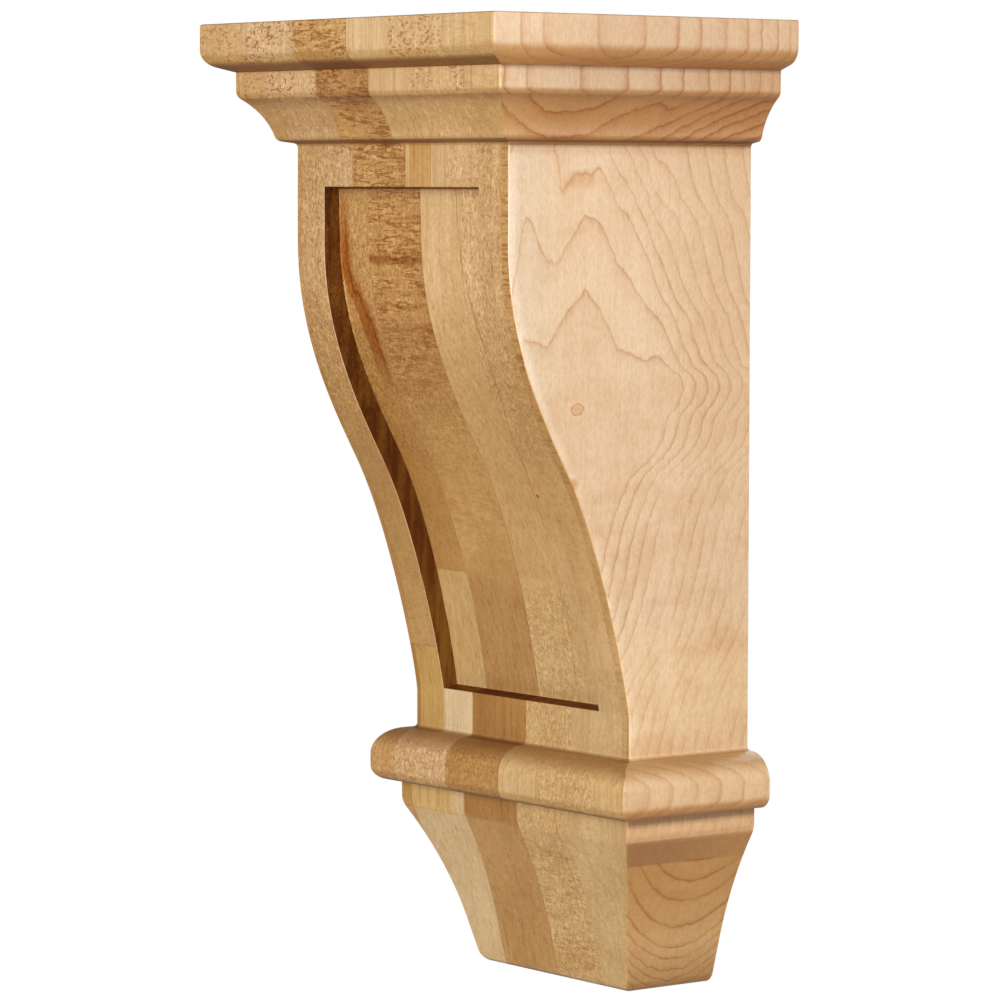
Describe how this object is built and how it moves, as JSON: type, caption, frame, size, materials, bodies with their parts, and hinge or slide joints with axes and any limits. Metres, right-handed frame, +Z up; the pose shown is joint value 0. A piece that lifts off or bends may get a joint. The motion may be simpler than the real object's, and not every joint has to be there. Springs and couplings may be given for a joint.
{
  "type": "wood corbel",
  "caption": "Maple bracket with a stepped crown, an S-shaped front with a sunk panel, a rounded bead and a tapered foot, fixed by its flat back under a shelf or counter.",
  "frame": {"origin": "middle of the flat back, where the corbel bears on the wall", "axes": "+Z up to the seat, +X to the right as seen from the front, +Y into the wall, so the front faces -Y"},
  "size_m": [0.1828, 0.1374, 0.3556],
  "materials": {
    "maple": "bare sanded maple, glued up from boards of different tones, satin, with rougher end grain"
  },
  "bodies": {
    "root": {"corbel": "maple"}
  },
  "joints": []
}
